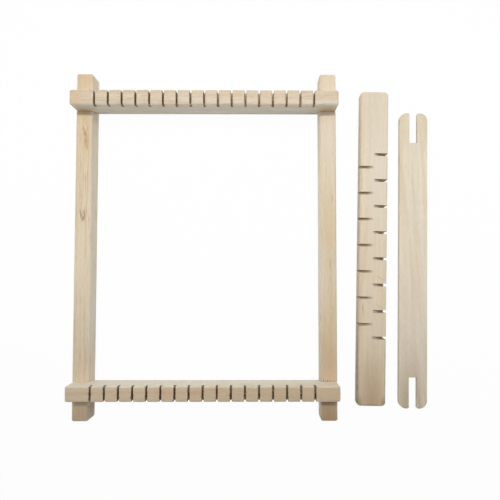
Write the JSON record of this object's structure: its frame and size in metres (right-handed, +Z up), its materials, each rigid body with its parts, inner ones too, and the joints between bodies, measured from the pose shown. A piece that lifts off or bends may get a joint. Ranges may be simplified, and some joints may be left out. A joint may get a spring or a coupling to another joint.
{
  "type": "frame loom",
  "caption": "Small wooden frame loom: two uprights with two slotted warp bars let into them, with a loose notched heddle bar and a loose flat shuttle.",
  "frame": {"origin": "on the table top, midway along the whole set's width and length, as the set lies flat", "axes": "+Z up from the table, +Y up the loom from its lower bar to its upper bar, +X from the loom towards the loose heddle bar and shuttle"},
  "size_m": [0.2696, 0.26, 0.029],
  "materials": {
    "upright_wood": "sanded, unfinished",
    "bar_wood": "sanded, unfinished",
    "heddle_wood": "sanded, unfinished",
    "shuttle_wood": "sanded, unfinished",
    "screw_steel": "bright zinc"
  },
  "bodies": {
    "loom_frame": {"left_upright": "upright_wood", "right_upright": "upright_wood", "top_bar": "bar_wood", "bottom_bar": "bar_wood", "screw_top_left": "screw_steel", "screw_top_right": "screw_steel", "screw_bottom_left": "screw_steel", "screw_bottom_right": "screw_steel"},
    "loose_heddle": {"heddle_bar": "heddle_wood"},
    "loose_shuttle": {"shuttle": "shuttle_wood"}
  },
  "joints": [
    {"name": "heddle_turn", "type": "hinge", "parent": "loom_frame", "child": "loose_heddle", "pos_m": [0.08107, -0.00061, 0.002], "axis": [-0.0209, -0.9998, 0], "range_deg": [0, 90]},
    {"name": "shuttle_throw", "type": "slide", "parent": "loom_frame", "child": "loose_shuttle", "axis": [0.0148, 0.9999, 0], "range_m": [-0.098, 0.098]}
  ]
}
